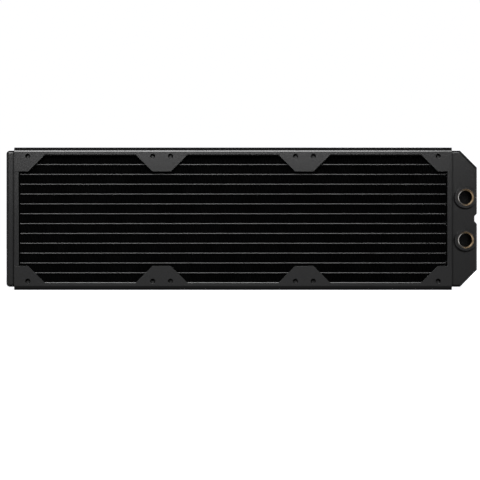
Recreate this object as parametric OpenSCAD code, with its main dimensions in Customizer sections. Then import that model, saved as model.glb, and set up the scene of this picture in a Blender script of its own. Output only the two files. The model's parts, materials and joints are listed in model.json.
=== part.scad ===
// Slim liquid cooling radiator for a row of fans, standing on its long lower edge.
// Flat coolant tubes with folded fins between them run from a return tank on the left
// to a two-chamber port tank on the right, and two side channels hold the whole core.
// +X runs along the tubes towards the ports, the ports face -Y, and +Z is up.
// The origin is on the lower channel's resting face, in the middle of the fan places.

/* [Fan places] */
// Number of fan places along the length
fan_count = 3; // [1:1:4]
// Side of one square fan place
fan_size = 120; // [100:1:150]
// From a fan place's edge to its screw holes
fan_hole_inset = 7.5; // [7:0.25:9]

/* [Side channels] */
// Overall depth of the frame, from face to face
frame_depth = 30; // [29:0.5:60]
// How much the frame is set back from a fan place's upper and lower edge
frame_setback = 0.05; // [0:0.05:1]
// Thickness of the channel sheet
sheet_t = 1; // [0.8:0.1:1.4]
// Inner radius of the channel's two bends
channel_bend = 2.5; // [0.5:0.1:3.1]
// Width of the flange between the gussets
flange_w = 6.1; // [5:0.1:8]
// How far a gusset reaches in from the frame's edge
gusset_reach = 20.2; // [16:0.1:26]
// Width of a gusset's tip
gusset_tip_w = 15.5; // [8:0.5:26]
// Rounding of the corners cut into the flange
cut_r = 0.8; // [0.2:0.1:1.5]

/* [Screw holes] */
// Radius of the threaded wall
screw_r = 1.45; // [1.2:0.01:1.7]
// Radius of the dished mouth
screw_mouth_r = 2.1; // [1.75:0.01:2.2]
// Depth of the dished mouth
screw_mouth_depth = 0.4; // [0.2:0.05:0.5]
// Outer radius of the plunged collar behind the sheet
collar_r = 2.3; // [2.2:0.05:2.6]
// Length of the collar behind the sheet
collar_len = 2; // [1:0.1:2.5]

/* [Core] */
// Thickness of a flat coolant tube
tube_t = 1.5; // [1.2:0.1:3]
// Depth of a coolant tube, from nose to nose
tube_depth = 18; // [12:0.5:19]
// Wall of a coolant tube
tube_wall = 0.25; // [0.15:0.05:0.4]
// Height of the gap that one folded fin fills
fin_h = 6.8; // [5:0.1:10]
// Distance from one fin leg to the next
fin_pitch = 1.5875; // [1.2:0.0125:3]
// Thickness of the fin foil
foil_t = 0.1; // [0.05:0.01:0.15]
// Width of the flat crest that lies on the tube
fin_crest = 0.6; // [0.3:0.05:0.9]
// How far a fin's edge is set back from the tube's nose
fin_setback = 0.5; // [0.2:0.1:1.5]
// Gap left where two pieces are brazed together
braze_gap = 0.05; // [0.02:0.01:0.1]

/* [Core supports and screw guards] */
// Thickness of the two core supports
support_t = 0.8; // [0.6:0.1:1.2]
// Inner radius of a core support's bends
support_bend = 0.7; // [0.3:0.1:1.5]
// How far a support stands proud of the tube's nose
support_proud = 0.3; // [0.1:0.1:0.8]
// Thickness of a screw guard
guard_t = 1; // [0.6:0.1:1.2]
// How far a guard's tab reaches past the screw's axis
guard_reach = 4; // [3:0.25:6]
// Half width of a guard's tab at its tip
guard_half_w = 10.5; // [9:0.5:14]

/* [Headers] */
// Width of the header's rim, which stands out past the fan places
rim_w = 4; // [3:0.1:6]
// Thickness of a header
header_t = 1.5; // [1:0.1:2]
// Outer rounding between the header's web and its rim
header_round = 0.8; // [0.3:0.1:1.5]
// How far a tube stands out of the header into the tank
tube_stub = 1; // [0.5:0.1:2]

/* [Tanks] */
// Wall of the drawn tanks
tank_wall = 1; // [0.8:0.1:1.4]
// Outer bend radius around a tank's front and back
tank_bend = 2; // [1.5:0.1:3]
// Gap between a tank and the header that it sits in
tank_gap = 0.15; // [0.05:0.05:0.3]
// How far the return tank stands out past the frame
return_reach = 6.8; // [5:0.1:30]
// Radius of the return tank's outer corners
return_corner_r = 3.2; // [2:0.1:5]
// How far the port tank stands out past the frame
port_reach = 21.4; // [20.8:0.1:40]
// Leg of the port tank's 45 degree corners
port_chamfer = 14.2; // [4:0.2:18]
// Depth of the notch drawn into the port tank's end
notch_depth = 2.3; // [1:0.1:4]
// Width of the notch at its bottom
notch_w = 4.4; // [3:0.1:8]
// Rounding of the notch's corners
notch_r = 1.4; // [1.1:0.1:1.5]
// Thickness of the baffle between the two chambers
baffle_t = 1; // [0.8:0.1:2]

/* [Ports] */
// Distance between the two port axes
port_spacing = 35.9; // [30:0.1:60]
// From the port tank's end to a port's axis
port_inset = 9.8; // [9.3:0.1:12]
// Radius of a port's threaded wall, the minor radius of a G1/4 pipe thread
port_r = 5.72; // [4.5:0.01:6]
// Radius of a port's bevelled mouth
port_mouth_r = 6.75; // [6.2:0.05:7]
// Outer radius of the bushing's head
head_r = 9.25; // [8.6:0.05:9.25]
// Radius of the bushing's neck, which goes through the tank wall
neck_r = 7.9; // [7.2:0.05:8.1]
// Length of the neck from the head's underside
neck_len = 5.4; // [3:0.1:7]
// Bevel round the head's outer edge
head_bevel = 0.3; // [0.1:0.05:0.6]
// Gap between the neck and the hole in the tank
neck_gap = 0.1; // [0.05:0.05:0.2]

/* [Hidden] */
$fn = 48;
paint = [0.17, 0.17, 0.18];
dark_paint = [0.10, 0.10, 0.11];
fin_black = [0.05, 0.05, 0.06];
brass = [0.72, 0.53, 0.28];

// Frame: half sizes, seen from the middle of the core.
core_x = fan_count * fan_size / 2;
frame_x = core_x + rim_w;
frame_y = frame_depth / 2;
frame_z = fan_size / 2 - frame_setback;
channel_z = frame_z - sheet_t;
gusset_z = frame_z - gusset_reach;
flange_z = frame_z - flange_w;
hole_z = fan_size / 2 - fan_hole_inset;

// How far open-ended shapes and cutters run, and how far a short cutter runs past its piece.
far = (fan_count + 2) * fan_size;
overrun = 1;
arc_fn = 24;

// Core: as many tubes as the height between the channels takes, in two equal passes.
support_y = tube_depth / 2 + support_proud;
stack_room = channel_z - support_t - support_bend;
tube_pitch = tube_t + fin_h;
pass_tubes = floor((2 * stack_room - fin_h) / (2 * tube_pitch));
tube_count = 2 * pass_tubes;
fin_count = tube_count + 1;
stack_z = (tube_count * tube_pitch + fin_h) / 2;
fin_rise = fin_h / 2 - braze_gap - foil_t / 2;
fin_run = fin_pitch - fin_crest;
fin_legs = floor(2 * (core_x - fin_pitch / 2) / fin_pitch);
fin_mitre = foil_t / 2 * tan((90 - atan(fin_run / (2 * fin_rise))) / 2);

// Headers and tanks: the tanks sit inside the headers' rims.
header_y = frame_y - sheet_t;
tank_y = header_y - header_t - tank_gap;
tank_z = channel_z - header_t - tank_gap;
mouth_x = core_x + header_t + tank_gap;
return_x = frame_x + return_reach;
port_x = frame_x + port_reach;
header_corner = tank_bend + tank_gap + header_t;
bushing_x = port_x - port_inset;
head_seat_y = tank_y + braze_gap;
neck_end_y = head_seat_y - neck_len;

function tube_z(i) = (i - (tube_count + 1) / 2) * tube_pitch;
function fin_z(i) = (i - (fin_count + 1) / 2) * tube_pitch;
function gusset_x(i) = i * fan_size - core_x;
function two_digits(i) = str(i < 10 ? "0" : "", i);
function tube_name(i) = str("tube_", two_digits(i));
function fin_name(i) = str("fin_", two_digits(i));

// Lifts what is drawn about the core's middle onto the resting face.
module raised() {
    translate([0, 0, frame_z]) children();
}

// Turns a section drawn as (height, depth) into a bar along X, as long as asked.
module along_x(length) {
    rotate([0, -90, 0]) linear_extrude(length, center = true) children();
}

// Turns an outline drawn as (x, z) into a plate from depth y0 to depth y1.
module along_y(y0, y1) {
    translate([0, y1, 0]) rotate([90, 0, 0]) linear_extrude(y1 - y0) children();
}

// Rounds every corner of an outline, inner and outer alike.
module rounded(r) {
    offset(r = r, $fn = arc_fn) offset(r = -2 * r, $fn = arc_fn) offset(r = r, $fn = arc_fn) children();
}

// Section of a bent sheet's outside: one side at reach, joined to two faces by its bends.
module bend_section(reach, half_depth, bend) {
    translate([reach, 0]) {
        translate([-far, -half_depth]) square([far - bend, 2 * half_depth]);
        translate([-far, bend - half_depth]) square([far, 2 * (half_depth - bend)]);
        for (s = [-1, 1]) translate([-bend, s * (half_depth - bend)]) circle(bend);
    }
}

// Solid bounded by a front face, a back face and a list of sides, each an
// [outward angle, distance, bend radius]. The inset moves every wall inwards.
module drawn_solid(sides, half_depth, inset = 0) {
    intersection_for (side = sides)
        rotate([0, -side[0], 0])
            linear_extrude(2 * far, center = true)
                bend_section(side[1] - inset, half_depth - inset, max(side[2] - inset, 0));
}

// Everything on the outer side of a plane across X, or on its core side.
module outside_of(x) {
    translate([x, -far, -far]) cube(2 * far);
}
module inside_of(x) {
    translate([x - 2 * far, -far, -far]) cube(2 * far);
}

// ---- Side channels ----

// Outline of the flange with its gussets, which run past the frame on three sides.
module flange_outline() {
    rounded(cut_r) difference() {
        translate([-far / 2, gusset_z]) square([far, gusset_reach + far / 4]);
        for (i = [0 : fan_count - 1]) window_outline(gusset_x(i), gusset_x(i + 1));
    }
}

// One fan's window: its sides lean at 45 degrees from gusset tip to flange edge.
module window_outline(left, right) {
    drop = 2 * cut_r;
    tip = gusset_tip_w / 2 - drop;
    rise = flange_z - gusset_z + drop;
    polygon([
        [left + tip, gusset_z - drop], [left + tip + rise, flange_z],
        [right - tip - rise, flange_z], [right - tip, gusset_z - drop]
    ]);
}

// Places its child at each screw hole of one channel, on the front and on the back.
module at_screw_holes() {
    for (i = [0 : fan_count - 1], x = [fan_hole_inset, fan_size - fan_hole_inset], s = [0, 1])
        mirror([0, s, 0]) translate([gusset_x(i) + x, 0, hole_z]) rotate([90, 0, 0]) children();
}

module channel() {
    mouth_flare = screw_mouth_r - screw_r;
    collar_end = frame_y - sheet_t - collar_len;
    difference() {
        union() {
            intersection() {
                along_x(2 * frame_x) difference() {
                    bend_section(frame_z, frame_y, channel_bend + sheet_t);
                    bend_section(channel_z, frame_y - sheet_t, channel_bend);
                }
                along_y(-far / 2, far / 2) flange_outline();
            }
            at_screw_holes()
                translate([0, 0, collar_end]) cylinder(h = collar_len + sheet_t / 2, r = collar_r);
        }
        at_screw_holes() {
            translate([0, 0, collar_end - overrun]) cylinder(h = frame_depth, r = screw_r);
            translate([0, 0, frame_y - screw_mouth_depth])
                cylinder(h = 2 * screw_mouth_depth, r1 = screw_r, r2 = screw_mouth_r + mouth_flare);
        }
    }
}

module side_channel_upper() {
    color(paint) raised() channel();
}

module side_channel_lower() {
    color(paint) raised() mirror([0, 0, 1]) channel();
}

// ---- Core supports and screw guards ----

// U-shaped rail: its web lies on the outermost fin and its legs reach the channel.
module core_support() {
    intersection() {
        rotate([0, 180, 0]) along_x(2 * (core_x - braze_gap)) difference() {
            bend_section(-stack_z, support_y, support_bend + support_t);
            bend_section(-stack_z - support_t, support_y - support_t, support_bend);
        }
        translate([-far, -far, 0]) cube([2 * far, 2 * far, channel_z - braze_gap]);
    }
}

module core_support_upper() {
    color(dark_paint) raised() core_support();
}

module core_support_lower() {
    color(dark_paint) raised() mirror([0, 0, 1]) core_support();
}

// Strip on a support's leg, with a tab behind the screw holes of every gusset.
module screw_guard() {
    y0 = support_y + braze_gap;
    strip_z = stack_z + support_t + support_bend;
    top_z = channel_z - braze_gap;
    tab_z = hole_z - guard_reach;
    end_x = core_x - braze_gap;
    lean = strip_z - tab_z;
    along_y(-y0 - guard_t, -y0) intersection() {
        translate([-end_x, tab_z]) square([2 * end_x, top_z - tab_z]);
        rounded(cut_r) union() {
            translate([-far / 2, strip_z]) square([far, far / 4]);
            for (i = [0 : fan_count]) translate([gusset_x(i), 0]) polygon([
                [-guard_half_w, tab_z], [guard_half_w, tab_z],
                [guard_half_w + lean, strip_z], [-guard_half_w - lean, strip_z]
            ]);
        }
    }
}

module screw_guard_upper_front() {
    color(dark_paint) raised() screw_guard();
}

module screw_guard_upper_back() {
    color(dark_paint) raised() mirror([0, 1, 0]) screw_guard();
}

module screw_guard_lower_front() {
    color(dark_paint) raised() mirror([0, 0, 1]) screw_guard();
}

module screw_guard_lower_back() {
    color(dark_paint) raised() mirror([0, 1, 0]) mirror([0, 0, 1]) screw_guard();
}

// ---- Coolant tubes and fins ----

// Flat section with round noses, drawn as (height, depth).
module tube_section(grow) {
    t = tube_t + 2 * grow;
    nose_y = (tube_depth - tube_t) / 2;
    square([t, 2 * nose_y], center = true);
    for (s = [-1, 1]) translate([0, s * nose_y]) circle(t / 2);
}

module tube(i) {
    color(paint) raised() translate([0, 0, tube_z(i)])
        along_x(2 * (core_x + header_t + tube_stub)) difference() {
            tube_section(0);
            tube_section(-tube_wall);
        }
}

// One face of the folded foil: the crests lie alternately on the upper and lower tube.
// side is 1 for the foil's upper face and -1 for its lower one.
function foil_face(side) = [
    for (k = [0 : fin_legs], end = [-1, 1])
        let (crest = k % 2 == 0 ? 1 : -1)
        let (half_w = fin_crest / 2 + crest * side * fin_mitre)
        [(k - fin_legs / 2) * fin_pitch + end * half_w, crest * fin_rise + side * foil_t / 2]
];

function reversed(list) = [for (i = [len(list) - 1 : -1 : 0]) list[i]];

module fin(i) {
    half_depth = tube_depth / 2 - fin_setback;
    color(fin_black) raised() translate([0, 0, fin_z(i)])
        along_y(-half_depth, half_depth)
            polygon(concat(foil_face(1), reversed(foil_face(-1))));
}

// ---- Headers ----

// Pan with its web on the core's side, slotted for the tubes, and its rim outwards.
module header() {
    sides = [
        [180, -core_x, header_round],
        [90, channel_z, header_corner],
        [-90, channel_z, header_corner]
    ];
    difference() {
        drawn_solid(sides, header_y);
        drawn_solid(sides, header_y, header_t);
        outside_of(frame_x);
        for (i = [1 : tube_count]) translate([core_x, 0, tube_z(i)])
            along_x(4 * header_t) tube_section(braze_gap);
    }
}

module return_header() {
    color(paint) raised() mirror([1, 0, 0]) header();
}

module port_header() {
    color(paint) raised() header();
}

// ---- Tanks ----

module return_tank_solid(inset) {
    sides = [[0, return_x, tank_bend], [90, tank_z, tank_bend], [-90, tank_z, tank_bend]];
    intersection() {
        drawn_solid(sides, tank_y, inset);
        along_y(-far / 2, far / 2)
            bend_section(return_x - inset, tank_z - inset, return_corner_r - inset);
    }
}

module return_tank() {
    color(paint) raised() mirror([1, 0, 0]) difference() {
        return_tank_solid(0);
        return_tank_solid(tank_wall);
        inside_of(mouth_x);
    }
}

// Outline of the port tank, with its two chamfers and its notch, moved inwards by the inset.
module port_tank_outline(inset) {
    half_w = notch_w / 2;
    chamfer_x = port_x - port_chamfer;
    chamfer_z = tank_z - port_chamfer;
    offset(r = -inset, $fn = arc_fn) rounded(notch_r) difference() {
        polygon([
            [0, -tank_z], [chamfer_x, -tank_z], [port_x, -chamfer_z],
            [port_x, chamfer_z], [chamfer_x, tank_z], [0, tank_z]
        ]);
        polygon([
            [port_x - notch_depth, half_w], [port_x + notch_depth, half_w + 2 * notch_depth],
            [port_x + notch_depth, -half_w - 2 * notch_depth], [port_x - notch_depth, -half_w]
        ]);
    }
}

module port_tank_solid(inset) {
    chamfer_at = (port_x + tank_z - port_chamfer) / sqrt(2);
    sides = [
        [0, port_x, tank_bend],
        [45, chamfer_at, tank_bend],
        [90, tank_z, tank_bend],
        [-90, tank_z, tank_bend],
        [-45, chamfer_at, tank_bend]
    ];
    intersection() {
        drawn_solid(sides, tank_y, inset);
        along_y(-far / 2, far / 2) port_tank_outline(inset);
    }
}

module port_tank() {
    color(paint) raised() difference() {
        port_tank_solid(0);
        port_tank_solid(tank_wall);
        inside_of(mouth_x);
        for (s = [-1, 1]) at_port(s) cylinder(h = frame_depth, r = neck_r + neck_gap);
    }
}

// Plate from the header to the notch, which parts the inlet chamber from the outlet.
module tank_baffle() {
    x0 = core_x + header_t + braze_gap;
    x1 = port_x - notch_depth - tank_wall - braze_gap;
    half_depth = tank_y - tank_wall - braze_gap;
    color(dark_paint) raised()
        translate([x0, -half_depth, -baffle_t / 2]) cube([x1 - x0, 2 * half_depth, baffle_t]);
}

// ---- Ports ----

// Places its child on a port's axis, with +Z out of the mouth and 0 at mid depth.
module at_port(side) {
    translate([bushing_x, 0, side * port_spacing / 2]) rotate([90, 0, 0]) children();
}

// Turned bushing: a head on the tank's face, a neck through its wall, and a threaded bore.
module bushing() {
    bevel = port_mouth_r - port_r;
    rotate_extrude() polygon([
        [port_r, neck_end_y], [neck_r, neck_end_y],
        [neck_r, head_seat_y], [head_r, head_seat_y],
        [head_r, frame_y - head_bevel], [head_r - head_bevel, frame_y],
        [port_mouth_r, frame_y], [port_r, frame_y - bevel]
    ]);
}

module port_bushing_upper() {
    color(brass) raised() at_port(1) bushing();
}

module port_bushing_lower() {
    color(brass) raised() at_port(-1) bushing();
}

side_channel_upper();
side_channel_lower();
core_support_upper();
core_support_lower();
screw_guard_upper_front();
screw_guard_upper_back();
screw_guard_lower_front();
screw_guard_lower_back();
return_header();
port_header();
return_tank();
port_tank();
tank_baffle();
port_bushing_upper();
port_bushing_lower();
for (i = [1 : tube_count])
    tube(i);
for (i = [1 : fin_count])
    fin(i);
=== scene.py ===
"""Looks of a slim liquid cooling radiator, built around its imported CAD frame."""

import json
import math

import bpy
import numpy as np
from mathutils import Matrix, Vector


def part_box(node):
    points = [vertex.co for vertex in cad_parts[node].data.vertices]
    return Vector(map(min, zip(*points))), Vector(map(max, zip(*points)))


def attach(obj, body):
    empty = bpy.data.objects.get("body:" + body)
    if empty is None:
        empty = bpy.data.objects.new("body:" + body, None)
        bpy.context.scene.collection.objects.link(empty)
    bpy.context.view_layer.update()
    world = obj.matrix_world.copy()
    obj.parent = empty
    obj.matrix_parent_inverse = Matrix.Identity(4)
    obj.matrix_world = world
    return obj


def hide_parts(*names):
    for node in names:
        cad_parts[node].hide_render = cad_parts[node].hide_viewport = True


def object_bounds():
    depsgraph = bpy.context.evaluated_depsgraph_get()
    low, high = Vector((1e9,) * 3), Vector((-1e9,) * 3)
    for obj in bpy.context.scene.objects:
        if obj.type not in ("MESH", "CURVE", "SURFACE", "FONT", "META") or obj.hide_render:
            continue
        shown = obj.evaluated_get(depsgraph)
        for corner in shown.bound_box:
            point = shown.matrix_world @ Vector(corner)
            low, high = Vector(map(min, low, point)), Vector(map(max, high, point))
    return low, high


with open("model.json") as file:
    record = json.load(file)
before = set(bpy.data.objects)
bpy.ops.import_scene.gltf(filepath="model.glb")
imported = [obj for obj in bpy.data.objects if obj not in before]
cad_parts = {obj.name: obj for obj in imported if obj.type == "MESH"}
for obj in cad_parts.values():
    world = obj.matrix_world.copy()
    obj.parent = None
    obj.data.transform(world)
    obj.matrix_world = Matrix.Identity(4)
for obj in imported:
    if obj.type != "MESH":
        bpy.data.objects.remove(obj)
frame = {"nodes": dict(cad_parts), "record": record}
cad_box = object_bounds()

MM = 0.001
MIDDLE_Z = (cad_box[0].z + cad_box[1].z) / 2  # height of the core's middle
HEADER_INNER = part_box("port_header")[0].x  # from the core's middle to a header's web
HEADER_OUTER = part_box("port_header")[1].x  # from the core's middle to the end of its rim
FLANGE_WIDTH = 6.1 * MM  # of a side channel, between its gussets
MOUNTS = frame["record"]["mounts"]
FAN_PLACES = [mount for mount in MOUNTS if mount["kind"] == "bolt_pattern"]
PORTS = [mount for mount in MOUNTS if mount["kind"] == "threaded_hole"]
PORT_X = PORTS[0]["pos_m"][0]


# ---- Helpers for nodes ----


def grey(value):
    """A grey with a trace of blue."""
    return (value, value, value * 1.02, 1.0)


class Graph:
    """A material's or world's node tree, with short calls for the nodes used here."""

    def __init__(self, owner):
        owner.use_nodes = True
        self.tree = owner.node_tree
        self.tree.nodes.clear()

    def feed(self, socket, value):
        """Links another node's output to a socket, or sets a value on it."""
        if isinstance(value, bpy.types.NodeSocket):
            self.tree.links.new(value, socket)
        else:
            socket.default_value = value

    def node(self, kind, inputs=None, **settings):
        made = self.tree.nodes.new("ShaderNode" + kind)
        for key, value in settings.items():
            setattr(made, key, value)
        for key, value in (inputs or {}).items():
            self.feed(made.inputs[key], value)
        return made

    def axes(self, vector):
        """A vector's parts, which are called X, Y and Z."""
        return self.node("SeparateXYZ", {0: vector}).outputs

    def math(self, operation, a, b=0.0):
        return self.node("Math", {0: a, 1: b}, operation=operation).outputs[0]

    def product(self, first, *others):
        for other in others:
            first = self.math("MULTIPLY", first, other)
        return first

    def dot(self, a, b):
        made = self.node("VectorMath", {0: a, 1: b}, operation="DOT_PRODUCT")
        return made.outputs["Value"]

    def ramp(self, value, low, high, to_low=0.0, to_high=1.0):
        """Takes value from the range low..high to to_low..to_high, eased and clamped."""
        span = {"From Min": low, "From Max": high, "To Min": to_low, "To Max": to_high}
        made = self.node("MapRange", {"Value": value, **span}, interpolation_type="SMOOTHSTEP")
        return made.outputs["Result"]

    def mix(self, factor, a, b, blend="MIX"):
        """Colour a where the factor is 0, and b (or a blended with b) where it is 1."""
        made = self.node("Mix", {0: factor, 6: a, 7: b}, data_type="RGBA", blend_type=blend)
        return made.outputs[2]

    def mix_vectors(self, factor, a, b):
        return self.node("Mix", {0: factor, 4: a, 5: b}, data_type="VECTOR").outputs[1]

    def noise(self, place, scale, detail, roughness=0.5):
        made = self.node(
            "TexNoise",
            {"Vector": place, "Scale": scale, "Detail": detail, "Roughness": roughness},
        )
        return made.outputs["Fac"]

    def flat_normal(self):
        """The normal of the face itself, before any smoothing or rounding."""
        return self.node("NewGeometry").outputs["True Normal"]

    def rounded_normal(self, radius):
        """The normal as if edges were rounded off to the radius."""
        return self.node("Bevel", {"Radius": radius}, samples=4).outputs["Normal"]

    def finish(self, shader, inputs, output="OutputMaterial"):
        """Adds the shader that the tree ends in, and the tree's output."""
        made = self.node(shader, inputs)
        self.node(output, {"Surface": made.outputs[0]})


def start_material(name):
    """A new material, its graph, and the place on the object in metres."""
    material = bpy.data.materials.new(name)
    graph = Graph(material)
    return material, graph, graph.node("TexCoord").outputs["Object"]


# ---- Paint ----

ROUNDING = 0.2 * MM  # of a painted edge
NOISE_SPAN = (0.3, 0.7)  # the values that a noise mostly takes
SPECKLE_SPAN = (0.25, 0.75)  # the values that the speckle mostly takes
TONE_SPREAD = 0.08  # how far the mottle takes a paint's tone up and down, as a share
GLOSS_SPREAD = 0.035  # how far the speckle takes a paint's roughness up and down
PEEL_HEIGHT = 0.006 * MM  # of the orange peel

# Painted shadow on the tanks, as if cast by light from the right and the top.
LIT_SIDE = (0.55, 0.0, 0.75)  # leans a face's view towards the right and the top
HOLLOW_REACH = 2.5 * MM
HOLLOW_VIEW = (0.42, 0.72)  # the open share of that view in a hollow, and in the open
SHADOW_LEVEL = 0.2
# Painted shade inside the tank, on the inner face of its back wall.
WALL_TURN = (-0.4, -0.6)  # Y of a normal that starts to face the front, and that does
WALL_DEPTH = (-10.0 * MM, -9.0 * MM)  # Y at which the tank's inside begins
INSIDE_SHADE_LEVEL = 0.35
JOINT_REACH = (-0.2 * MM, 2.4 * MM)  # a shade's deepest place and its end, off the header's rim
# Painted shade along the tank's joint with the header's rim.
JOINT_SHADE_LEVEL = 0.45
TUBE_END_REACH = (0.6 * MM, 1.0 * MM)  # a shade's deepest place and its end, off the header's web
FLANGE_ROUNDING = 0.7 * MM
FLANGE_REACH = (0.8 * MM, 1.2 * MM)  # how far off the free edge its rounding fades away
# Painted shade in the dished mouths of the screw holes, dark at the top and lighter below.
DISH_EDGE = (2.05 * MM, 2.2 * MM)  # radii between which a dish's mask fades away
DISH_FADE = (-1.8 * MM, -0.4 * MM)  # heights in a dish between which its light fades away
DISH_LEVELS = (0.6, 0.0)  # what a dish keeps of its light below and above them


def painted_shadow(graph):
    """Painted shadow from the lit side: at its level where something close by stands on that side,
    and 1 in the open.
    """
    leaning = graph.node("VectorMath", {0: graph.flat_normal(), 1: LIT_SIDE}, operation="ADD")
    leaning = graph.node("VectorMath", {0: leaning.outputs["Vector"]}, operation="NORMALIZE")
    view = {"Distance": HOLLOW_REACH, "Normal": leaning.outputs["Vector"]}
    sky = graph.node("AmbientOcclusion", view, samples=8)
    return graph.ramp(sky.outputs["AO"], *HOLLOW_VIEW, SHADOW_LEVEL, 1.0)


def joint_shade(graph, place):
    """Painted shade in the crease where the tank leaves the header's rim: at its level there,
    rising to 1 away from it.
    """
    out = graph.math("SUBTRACT", graph.math("ABSOLUTE", graph.axes(place)["X"]), HEADER_OUTER)
    return graph.ramp(out, *JOINT_REACH, JOINT_SHADE_LEVEL, 1.0)


def inside_shade(graph, place):
    """Painted shade, at its level, on the inner face of the tank's back wall, inside the tank."""
    faces_front = graph.ramp(graph.axes(graph.flat_normal())["Y"], *WALL_TURN)
    inner = graph.product(faces_front, graph.ramp(graph.axes(place)["Y"], *WALL_DEPTH))
    return graph.ramp(inner, 0.0, 1.0, 1.0, INSIDE_SHADE_LEVEL)


def tank_coat(graph, place, rounding):
    # The tank's paint keeps what light is left by painted shadow, painted shade at the joint and
    # painted shade inside.
    kept = graph.product(painted_shadow(graph), joint_shade(graph, place), inside_shade(graph, place))
    return graph.rounded_normal(rounding), kept


def core_coat(graph, place, rounding):
    """The coat of tubes and supports: unlit where they enter a header, in its web's shade."""
    short = graph.math("SUBTRACT", HEADER_INNER, graph.math("ABSOLUTE", graph.axes(place)["X"]))
    return graph.rounded_normal(rounding), graph.ramp(short, *TUBE_END_REACH)


def dish(graph, place):
    """A mask of the dished mouths of the screw holes, and how far up in its hole a point is."""
    pitch = max(mount["pos_m"][0] for mount in FAN_PLACES)
    spacing = FAN_PLACES[0]["dims"]
    hole_x, hole_z = spacing["spacing_x_mm"] / 2 * MM, spacing["spacing_y_mm"] / 2 * MM
    across, _, height = graph.axes(place)
    folded = graph.math("PINGPONG", graph.math("ADD", across, 4 * pitch), pitch / 2)
    sideways = graph.math("SUBTRACT", folded, hole_x)
    height = graph.math("SUBTRACT", height, MIDDLE_Z)
    up = graph.math("SUBTRACT", height, graph.product(graph.math("SIGN", height), hole_z))
    away = graph.math("ADD", graph.math("POWER", sideways, 2.0), graph.math("POWER", up, 2.0))
    return graph.ramp(graph.math("SQRT", away), *DISH_EDGE, 1.0, 0.0), up


def frame_coat(graph, place, rounding):
    """The channels' coat: the upper flanges' free edges are rounder, and the dishes get painted
    shade, dark at the top.
    """
    _, depth, height = graph.axes(place)
    flange_edge = cad_box[1].z - FLANGE_WIDTH
    from_edge = graph.math("ABSOLUTE", graph.math("SUBTRACT", height, flange_edge))
    radius = graph.ramp(from_edge, *FLANGE_REACH, FLANGE_ROUNDING, rounding)
    in_dish, up = dish(graph, place)
    outward = graph.node("CombineXYZ", {"Y": graph.math("SIGN", depth)}).outputs[0]
    normal = graph.mix_vectors(in_dish, graph.rounded_normal(radius), outward)
    # painted shade: the dish loses its light towards the top
    lost = graph.math("SUBTRACT", 1.0, graph.ramp(up, *DISH_FADE, *DISH_LEVELS))
    return normal, graph.math("SUBTRACT", 1.0, graph.product(in_dish, lost))


def paint(name, tone, roughness, specular, rounding=ROUNDING, peel=0.2, coat=None):
    """Satin black paint: mottled tone, fine orange peel, and edges that the coat rounds off.

    A coat gives the paint's normal, and the light that the paint keeps, from 0 to 1.
    """
    material, graph, place = start_material(name)
    mottle = graph.noise(place, scale=22.0, detail=3.0)
    speckle = graph.noise(place, scale=2600.0, detail=2.0)
    dimples = graph.noise(place, scale=900.0, detail=2.0)
    dark, pale = grey(tone * (1 - TONE_SPREAD)), grey(tone * (1 + TONE_SPREAD))
    body = graph.mix(graph.ramp(mottle, *NOISE_SPAN), dark, pale)
    level = specular
    if coat:
        normal, kept = coat(graph, place, rounding)
        # the coat's painted shade darkens the colour and the gloss
        body = graph.mix(kept, grey(0.0), body)
        level = graph.product(kept, specular)
    else:
        normal = graph.rounded_normal(rounding)
    gloss = (roughness - GLOSS_SPREAD, roughness + GLOSS_SPREAD)
    peeled = {"Strength": peel, "Distance": PEEL_HEIGHT, "Height": dimples, "Normal": normal}
    graph.finish("BsdfPrincipled", {
        "Base Color": body,
        "Roughness": graph.ramp(speckle, *SPECKLE_SPAN, *gloss),
        "Specular IOR Level": level,
        "Normal": graph.node("Bump", peeled).outputs["Normal"],
    })
    return material


FRAME_PAINT = paint("frame_paint", 0.006, 0.20, 0.52, peel=0.12, coat=frame_coat)
HEADER_PAINT = paint("header_paint", 0.005, 0.20, 0.50)
TANK_PAINT = paint("tank_paint", 0.003, 0.20, 0.50, coat=tank_coat)
CORE_PAINT = paint("core_paint", 0.012, 0.21, 0.43, 0.1 * MM, peel=0.04, coat=core_coat)
GUARD_PAINT = paint("guard_paint", 0.012, 0.40, 0.30)


# ---- Fin paint ----

FOLD_HEIGHT = 0.008 * MM  # of the foil's unevenness
FIN_TONES = (0.0016, 0.0030)
FIN_ROUGHNESS = (0.42, 0.58)


def fin_paint(name):
    """Thin matt black paint on foil, a little uneven from fold to fold."""
    material, graph, place = start_material(name)
    patch = graph.noise(place, scale=60.0, detail=3.0)
    fold = graph.noise(place, scale=700.0, detail=1.0)
    uneven = {"Strength": 0.3, "Distance": FOLD_HEIGHT, "Height": fold}
    dark, pale = FIN_TONES
    graph.finish("BsdfPrincipled", {
        "Base Color": graph.mix(graph.ramp(patch, *NOISE_SPAN), grey(dark), grey(pale)),
        "Roughness": graph.ramp(fold, *NOISE_SPAN, *FIN_ROUGHNESS),
        "Specular IOR Level": 0.04,
        "Normal": graph.node("Bump", uneven).outputs["Normal"],
    })
    return material


FIN_PAINT = fin_paint("fin_paint")


# ---- Brass ----

TARNISH_TINT = (0.55, 0.42, 0.30, 1.0)
TARNISH_SPAN = (0.42, 0.7)  # values of the patches' noise between which the tint sets in
MATT_SPAN = (0.3, 0.75)  # values of the same noise between which brass gets rougher
MATT_GAIN = 0.16  # how much rougher it gets
MARK_HEIGHT = 0.005 * MM
EDGE_SPAN = (0.99, 0.9)  # how well the rounded normal meets the face's, off an edge and on it
# The left tone paints light and shade on the ports' left sides.
LEFT_END = (PORT_X - 5.0 * MM, PORT_X + 1.0 * MM)  # X at which the left tone fades away


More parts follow.
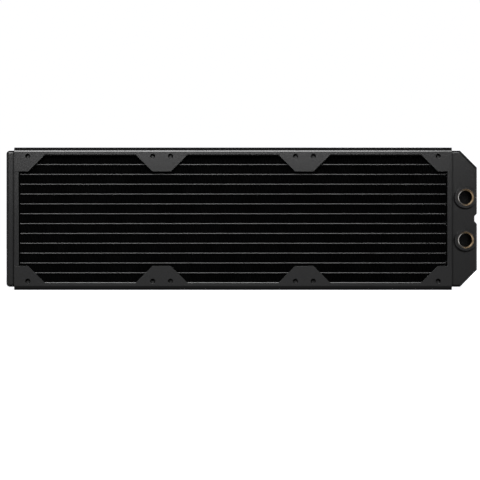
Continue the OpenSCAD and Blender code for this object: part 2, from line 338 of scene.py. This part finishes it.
def brass(name, tone, roughness, tarnish, left_light_tone=None, edge_highlight_gain=None):
    """Brass with fine marks and patches of tarnish.

    It may have another tone on the left of the ports' axes, painted for how the light falls there,
    and a painted highlight on its edges, brighter by a gain.
    """
    material, graph, place = start_material(name)
    patches = graph.noise(place, scale=420.0, detail=3.0, roughness=0.6)
    marks = graph.noise(place, scale=5200.0, detail=1.0)
    colour = (*tone, 1.0)
    if left_light_tone:
        colour = graph.mix(graph.ramp(graph.axes(place)["X"], *LEFT_END), (*left_light_tone, 1.0), colour)
    dull = graph.mix(1.0, colour, TARNISH_TINT, blend="MULTIPLY")
    colour = graph.mix(graph.ramp(patches, *TARNISH_SPAN, 0.0, tarnish), colour, dull)
    normal = graph.rounded_normal(ROUNDING)
    # painted highlight on the edges, where the rounded normal turns away from the face's
    if edge_highlight_gain:
        highlight_colour = graph.mix(1.0, colour, (edge_highlight_gain, edge_highlight_gain, edge_highlight_gain, 1.0), blend="MULTIPLY")
        flatness = graph.dot(normal, graph.flat_normal())
        colour = graph.mix(graph.ramp(flatness, *EDGE_SPAN), colour, highlight_colour)
    marked = {"Strength": 0.25, "Distance": MARK_HEIGHT, "Height": marks, "Normal": normal}
    graph.finish("BsdfPrincipled", {
        "Base Color": colour,
        "Metallic": 1.0,
        "Roughness": graph.ramp(patches, *MATT_SPAN, roughness, roughness + MATT_GAIN),
        "Normal": graph.node("Bump", marked).outputs["Normal"],
    })
    return material


# The lip's paler left side is a painted reflection, and its edges carry a painted highlight.
LIP_BRASS = brass(
    "lip_brass", (0.64, 0.48, 0.30), 0.22, 0.20, left_light_tone=(0.72, 0.71, 0.69), edge_highlight_gain=1.25
)
PORT_BRASS = brass("port_brass", (0.36, 0.25, 0.14), 0.34, 0.75)
# The worn ring's darker left side is painted shade.
WORN_BRASS = brass(
    "worn_brass", (0.18, 0.13, 0.08), 0.42, 0.50, left_light_tone=(0.050, 0.046, 0.042)
)
BARE_BRASS = brass("bare_brass", (0.60, 0.42, 0.20), 0.35, 0.50)

PAINT_OF = {
    "side_channel": FRAME_PAINT,
    "core_support": CORE_PAINT,
    "screw_guard": GUARD_PAINT,
    "return_header": HEADER_PAINT,
    "port_header": HEADER_PAINT,
    "return_tank": TANK_PAINT,
    "port_tank": TANK_PAINT,
    "tank_baffle": BARE_BRASS,
    "port_bushing": PORT_BRASS,
    "tube": CORE_PAINT,
    "fin": FIN_PAINT,
}


def paint_cad_nodes():
    for name, piece in frame["nodes"].items():
        kind = next(key for key in PAINT_OF if name.startswith(key))
        piece.data.materials.clear()
        piece.data.materials.append(PAINT_OF[kind])


# ---- Mesh pieces ----


def new_piece(name, points, faces, materials, stands_for, face_materials=None, smooth=None):
    """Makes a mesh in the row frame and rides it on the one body."""
    mesh = bpy.data.meshes.new(name)
    mesh.from_pydata(np.asarray(points, float).tolist(), [], np.asarray(faces, int).tolist())
    for material in materials:
        mesh.materials.append(material)
    if face_materials is not None:
        mesh.polygons.foreach_set("material_index", np.asarray(face_materials, np.int32))
    mesh.update()
    if smooth is not None:
        mesh.shade_smooth()
        mesh.set_sharp_from_angle(angle=smooth)
    piece = bpy.data.objects.new(name, mesh)
    bpy.context.scene.collection.objects.link(piece)
    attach(piece, "root")
    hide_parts(*stands_for)


# ---- Louvred fins ----

FOIL = 0.1 * MM
FIN_PITCH = 1.5875 * MM
FIN_CREST = 0.6 * MM
LOUVRES = 8  # in each leg, in a front bank and a back bank that mirror each other
LOUVRE_ANGLE = math.radians(34)
LOUVRE_SHARE = 0.86  # of a leg's height that the louvres are cut along
MARGIN = 0.8 * MM  # uncut foil at the front, in the middle and at the back
CREASE = 2.7 * MM  # how far the fin's middle is shifted along X against its edges
BRAZE = 0.06 * MM  # filler metal between a crest and the tube it is brazed to
EXTRA = 3  # legs added past each end, of which only the parts short of the header's web stay
WEB_GAP = 0.02 * MM  # between the last fold and the header's web
CUT_OFF = 0.01 * MM  # boxes that the web leaves thinner than this are dropped
BOX_FACES = np.array(
    [(0, 1, 3, 2), (4, 6, 7, 5), (0, 4, 5, 1), (2, 3, 7, 6), (0, 2, 6, 4), (1, 5, 7, 3)]
)


def box_corners(a, b, c):
    """The eight corners of a box from its three ranges."""
    return np.array([(x, y, z) for x in a for y in b for z in c], float)


def leg_boxes(depth, height):
    """The boxes of one leg, each as eight corners (off the foil, along Y, up the leg)."""
    half, up = depth / 2, height / 2
    cut = up * LOUVRE_SHARE
    foil = (-FOIL / 2, FOIL / 2)
    boxes = []
    for side in (-1, 1):
        for along in ((-half, 0), (0, half)):
            boxes.append(box_corners(foil, along, sorted((side * cut, side * up))))
        edge = sorted((side * half, side * (half - MARGIN)))
        boxes.append(box_corners(foil, edge, (-cut, cut)))
    boxes.append(box_corners(foil, (-MARGIN / 2, MARGIN / 2), (-cut, cut)))
    bank = half - MARGIN / 2 - MARGIN
    step = bank / (LOUVRES // 2)
    for side in (-1, 1):
        turn = side * LOUVRE_ANGLE
        for i in range(LOUVRES // 2):
            corners = box_corners(foil, (-step / 2, step / 2), (-cut, cut))
            x, y = corners[:, 0].copy(), corners[:, 1].copy()
            corners[:, 0] = x * math.cos(turn) - y * math.sin(turn)
            corners[:, 1] = x * math.sin(turn) + y * math.cos(turn)
            corners[:, 1] += side * (MARGIN / 2 + (i + 0.5) * step)
            boxes.append(corners)
    return np.array(boxes)


def fin_mesh(node):
    """Corners and faces of one folded, louvred fin that fills the CAD fin's box."""
    low, high = (np.array(v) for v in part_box(node))
    length, depth, height = high - low
    legs = round((length - FIN_CREST) / FIN_PITCH)
    run, rise = FIN_PITCH - FIN_CREST, height - FOIL
    upright = leg_boxes(depth, rise)
    corners = []
    for k in range(-EXTRA, legs + EXTRA):
        lean = 1 if k % 2 else -1
        leg = upright.copy()
        leg[..., 0] += (k - (legs - 1) / 2) * FIN_PITCH + lean * leg[..., 2] * run / rise
        corners.append(leg)
    half_crest = FIN_CREST / 2 + FOIL / 2
    for k in range(-EXTRA, legs + 1 + EXTRA):
        x = (k - legs / 2) * FIN_PITCH
        side = 1 if k % 2 == 0 else -1
        heights = sorted((side * (rise / 2 - FOIL / 2), side * (rise / 2 + FOIL / 2 + BRAZE)))
        for y in ((-depth / 2, 0), (0, depth / 2)):
            corners.append(box_corners((x - half_crest, x + half_crest), y, heights)[None])
    corners = np.concatenate(corners)
    corners[..., 0] += CREASE * (0.5 - np.abs(corners[..., 1]) / (depth / 2))
    limit = HEADER_INNER - WEB_GAP
    corners[..., 0] = np.clip(corners[..., 0], -limit, limit)
    corners = corners[np.ptp(corners[..., 0], axis=1) > CUT_OFF]
    corners += (low + high) / 2
    faces = BOX_FACES[None] + corners.shape[1] * np.arange(len(corners))[:, None, None]
    return corners.reshape(-1, 3), faces.reshape(-1, 4)


def add_fins():
    for node in sorted(name for name in frame["nodes"] if name.startswith("fin_")):
        points, faces = fin_mesh(node)
        new_piece(node + "_louvred", points, faces, [FIN_PAINT], [node])


# ---- Core supports ----

SUPPORT_SHEET = 0.8 * MM
NOSE_LEAN = math.radians(11)  # how far the bend's flattened nose leans back
NOSE_FOOT = 0.95 * MM  # the nose's lower end, below the web's face
NOSE_TOP = 0.56 * MM  # its upper end, which the bend's arc goes on from
INNER_BEND = 0.5 * MM


def bend(end, radius, height, first, count):
    """Points on a bend's arc, from the turn first, in degrees, until it runs level."""
    turns = np.radians(np.linspace(first, 90, count))
    return [
        (end - radius * (1 - math.cos(turn)), height - radius * (1 - math.sin(turn)))
        for turn in turns
    ]


def support_half(half_depth, drop):
    """One half of the section as (distance from the middle, height against the web's face)."""
    end = half_depth - (NOSE_FOOT - NOSE_TOP) * math.tan(NOSE_LEAN)
    outer = [(half_depth, -drop), (half_depth, -NOSE_FOOT), (end, -NOSE_TOP)]
    outer += bend(end, NOSE_TOP, 0.0, 30, 4) + [(0.0, 0.0)]
    leg = half_depth - SUPPORT_SHEET
    inner = [(leg, -drop), (leg, -SUPPORT_SHEET - INNER_BEND)]
    inner += bend(leg, INNER_BEND, -SUPPORT_SHEET, 15, 5) + [(0.0, -SUPPORT_SHEET)]
    return outer, inner


def add_core_support(node):
    """A folded support whose bends are flattened to a nose that leans back a little."""
    low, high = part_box(node)
    up = 1 if high.z < MIDDLE_Z else -1
    web = high.z if up > 0 else low.z
    outer, inner = support_half(high.y, high.z - low.z)
    outer += [(-y, z) for y, z in reversed(outer[:-1])]
    inner += [(-y, z) for y, z in reversed(inner[:-1])]
    points = [(x, y, web + up * z) for x in (low.x, high.x) for y, z in outer + inner]
    inside = len(outer)  # the first point of the inner outline
    far = 2 * inside  # the first point at the support's far end
    faces = []
    for i in range(inside - 1):
        j = inside + i
        faces.append((i, i + 1, j + 1, j))
        faces.append((far + i + 1, far + i, far + j, far + j + 1))
        faces.append((i + 1, i, far + i, far + i + 1))
        faces.append((j, j + 1, far + j + 1, far + j))
    for i, j in ((0, inside), (far - 1, inside - 1)):
        faces.append((i, j, far + j, far + i))
    if up < 0:
        faces = [tuple(reversed(face)) for face in faces]
    new_piece(
        node + "_folded", points, faces, [CORE_PAINT], [node],
        smooth=math.radians(40),
    )


# ---- Port bushings ----

THREAD_PITCH = 1.337 * MM
THREAD_DEPTH = 0.856 * MM
THREAD_FLAT = 0.14  # share of a half pitch that is level at the root, and at the crest
RING = 6.7 * MM  # outer radius of the mouth bevel
MOUTH_SLOPE = math.tan(math.radians(34))  # the bevel's depth for its width
WORN = 6.95 * MM  # outer radius of the ring where brass shows through thin paint
LIP = 6.25 * MM  # outer radius of the bevel's polished lip
HEAD_BEVEL = 0.3 * MM
NECK = 7.9 * MM  # radius
NECK_LENGTH = 5.4 * MM
AROUND = 96  # points in each ring
ROWS_PER_TURN = 12


def thread_radius(minor, turns, pitches_in):
    """Radius of a thread by its turns, which deepens until pitches_in reaches 1."""
    wave = np.abs((turns % 1.0) * 2 - 1)
    flank = np.clip((wave - THREAD_FLAT) / (1 - 2 * THREAD_FLAT), 0, 1)
    return minor + THREAD_DEPTH * min(pitches_in, 1.0) * flank


def add_bushing(port):
    """A turned bushing: painted head and neck, bare brass bevel and helical thread."""
    node = port["name"].replace("port_", "port_bushing_")
    low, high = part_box(node)
    x, _, z = port["pos_m"]
    minor = port["dims"]["r_mm"] * MM
    head = (high.x - low.x) / 2
    front, back = low.y, high.y
    seat = back - NECK_LENGTH
    angle = np.linspace(0, 2 * math.pi, AROUND, endpoint=False)

    def ring(radius, y):
        across, up = radius * np.cos(angle), radius * np.sin(angle)
        return np.stack([x + across, np.full(AROUND, y), z + up], 1)

    painted = [(NECK, back), (NECK, seat), (head, seat), (head, front + HEAD_BEVEL)]
    painted += [(head - HEAD_BEVEL, front)]
    worn = [(WORN, front), (RING, front)]
    lip = [(LIP, front + (RING - LIP) * MOUTH_SLOPE)]
    rings = [ring(radius, y) for radius, y in painted + worn + lip]
    thread_start = front + (RING - minor) * MOUTH_SLOPE
    rows = round((back - thread_start) / THREAD_PITCH * ROWS_PER_TURN)
    for y in np.linspace(thread_start, back, rows + 1):
        turns = y / THREAD_PITCH + angle / (2 * math.pi)
        pitches_in = (y - thread_start) / THREAD_PITCH
        rings.append(ring(thread_radius(minor, turns, pitches_in), y))
    ends = np.cumsum([len(painted), len(worn), len(lip)])
    faces, kinds = [], []
    for r in range(len(rings)):
        a, b = r * AROUND, (r + 1) % len(rings) * AROUND
        for i in range(AROUND):
            j = (i + 1) % AROUND
            faces.append((a + i, a + j, b + j, b + i))
            kinds.append(sum(r >= end for end in ends))
    new_piece(
        node + "_threaded", np.concatenate(rings), faces,
        [TANK_PAINT, WORN_BRASS, LIP_BRASS, PORT_BRASS],
        [node], kinds, smooth=math.radians(25),
    )


# ---- Camera and lights ----

PICTURE_WIDTH = 403.5 * MM  # what the picture takes in at the front face
CAMERA_DISTANCE = 2.5
AIM_X = 5.9 * MM
AIM_Z = 42.05 * MM
SENSOR = 36  # in Blender's millimetres, as the lens is
LAMP_AIM = (0.0, 0.0, 0.06)


def add_camera():
    data = bpy.data.cameras.new("camera")
    data.sensor_width = SENSOR
    data.lens = SENSOR * CAMERA_DISTANCE / PICTURE_WIDTH
    data.clip_start, data.clip_end = 0.05, 60
    camera = bpy.data.objects.new("camera", data)
    bpy.context.scene.collection.objects.link(camera)
    camera.location = (AIM_X, cad_box[0].y - CAMERA_DISTANCE, AIM_Z)
    camera.rotation_euler = (math.radians(90), 0, 0)
    bpy.context.scene.camera = camera


def add_softbox(name, place, size, power):
    data = bpy.data.lights.new(name, "AREA")
    data.shape = "RECTANGLE"
    data.size, data.size_y = size
    data.energy = power
    lamp = bpy.data.objects.new(name, data)
    bpy.context.scene.collection.objects.link(lamp)
    lamp.location = place
    lamp.rotation_mode = "QUATERNION"
    lamp.rotation_quaternion = (Vector(place) - Vector(LAMP_AIM)).to_track_quat("Z", "Y")


# ---- World ----

FILL = 0.12  # the world's plain level, as it lights the object

# The levels that gloss sees, as if a room stood around the object.
ROOM = 0.13
ROOM_RIGHT = 0.9
ROOM_SIDES = 0.7
ROOM_UNDER = 0.03
SPOT_LEVEL = 0.8

# Where each part of the room fades in, from its first value to its second. X, Y and Z stand
# for the way that a ray leaves by, from -1 to 1: Y goes away from the camera, and Z up.
# ABOVE and BELOW are in Z.
RIGHT_X = (0.5, 0.95)
RIGHT_BELOW = (0.6, 0.35)
UNDER_BELOW = (-0.87, -1.0)
HORIZON_ABOVE = (-0.08, 0.0)  # up to the level
SIDES_X = (0.3, 0.55)
SIDES_ABOVE = (-0.8, -0.5)
SIDES_BELOW = (0.6, 0.45)
SIDES_Y = (0.0, 0.3)
SIDES_FRONT_BELOW = (-0.05, -0.2)  # where the sides start in front of that
BEHIND_Y = (0.1, 0.6)
BEHIND_ABOVE = (-0.35, -0.25)
BEHIND_BELOW = (0.35, 0.15)
SPOT = (-0.66, -0.37, 0.66)  # the way to a small bright patch, high on the left
SPOT_EDGE = (0.9, 0.97)  # a way's agreement with the way to the spot


def add_world():
    """White to the camera. Gloss sees a dark room in front, white at its sides and behind."""
    world = bpy.data.worlds.new("studio")
    bpy.context.scene.world = world
    graph = Graph(world)
    way = graph.node("TexCoord").outputs["Generated"]
    x, y, z = graph.axes(way)

    right = graph.ramp(x, *RIGHT_X, ROOM, ROOM_RIGHT)
    room = graph.mix(graph.ramp(z, *RIGHT_BELOW), grey(ROOM), right)
    room = graph.mix(graph.ramp(z, *UNDER_BELOW), room, grey(ROOM_UNDER))

    horizon = graph.product(graph.ramp(z, *HORIZON_ABOVE), graph.math("LESS_THAN", z, 0.0))
    room = graph.mix(horizon, room, grey(1.0))

    wide = graph.math("MAXIMUM", graph.ramp(y, *SIDES_Y), graph.ramp(z, *SIDES_FRONT_BELOW))
    aside = graph.ramp(graph.math("ABSOLUTE", x), *SIDES_X)
    sides = graph.product(aside, graph.ramp(z, *SIDES_ABOVE), graph.ramp(z, *SIDES_BELOW), wide)
    room = graph.mix(sides, room, grey(ROOM_SIDES))

    behind = graph.product(graph.ramp(z, *BEHIND_ABOVE), graph.ramp(z, *BEHIND_BELOW))
    behind = graph.product(behind, graph.ramp(y, *BEHIND_Y))
    room = graph.mix(behind, room, grey(1.0))
    room = graph.mix(graph.ramp(graph.dot(way, SPOT), *SPOT_EDGE), room, grey(SPOT_LEVEL))

    rays = graph.node("LightPath").outputs
    mirrored = graph.math("MAXIMUM", rays["Is Glossy Ray"], rays["Is Transmission Ray"])
    level = graph.mix(mirrored, grey(FILL), room)
    level = graph.mix(rays["Is Camera Ray"], level, grey(1.0))
    graph.finish("Background", {"Color": level, "Strength": 1.0}, "OutputWorld")


# ---- Floor ----

FLOOR_HALF = 12.0  # half of the floor's side
FLOOR_TONE = 0.2  # as it lights the object
FLOOR_SEEN = 0.8  # the tone that the camera sees
FLOOR_GRAIN = 0.04  # how far the grain darkens it, as a share
GLOW_REACH = (0.5, 1.2)  # how far from the object the floor's own light starts and stops rising
GLOW_LEVELS = (0.8, 1.0)  # the light that the camera sees, near the object and far from it


def add_floor():
    """A pale floor that keeps the object's shadow. Gloss looks through it, at the world."""
    mesh = bpy.data.meshes.new("floor")
    low, high = -FLOOR_HALF, FLOOR_HALF
    corners = [(low, low, 0), (high, low, 0), (high, high, 0), (low, high, 0)]
    mesh.from_pydata(corners, [], [(0, 1, 2, 3)])
    material, graph, place = start_material("floor")
    grain = graph.noise(place, scale=40.0, detail=3.0)
    far = graph.node("VectorMath", {0: place}, operation="LENGTH").outputs["Value"]
    rays = graph.node("LightPath").outputs
    seen = rays["Is Camera Ray"]
    tone = graph.mix(seen, grey(FLOOR_TONE), grey(FLOOR_SEEN))
    shader = graph.node("BsdfPrincipled", {
        "Base Color": graph.mix(graph.ramp(grain, *NOISE_SPAN, 0.0, FLOOR_GRAIN), tone, grey(0.0)),
        "Roughness": 0.8,
        "Specular IOR Level": 0.1,
        "Emission Color": grey(1.0),
        "Emission Strength": graph.product(seen, graph.ramp(far, *GLOW_REACH, *GLOW_LEVELS)),
    })
    mirrored = graph.math("MAXIMUM", rays["Is Glossy Ray"], rays["Is Transmission Ray"])
    clear = graph.node("BsdfTransparent")
    graph.finish("MixShader", {0: mirrored, 1: shader.outputs[0], 2: clear.outputs[0]})
    mesh.materials.append(material)
    floor = bpy.data.objects.new("floor", mesh)
    bpy.context.scene.collection.objects.link(floor)


paint_cad_nodes()
add_fins()
for support in ("core_support_lower", "core_support_upper"):
    add_core_support(support)
for port in PORTS:
    add_bushing(port)
add_camera()
add_softbox("key", place=(-0.059, -1.140, 0.488), size=(0.665, 0.463), power=13.4)
add_softbox("back_fill", place=(0.5, 1.4, 0.3), size=(0.8, 0.5), power=4)
add_world()
add_floor()
bpy.context.scene.view_settings.view_transform = "Standard"
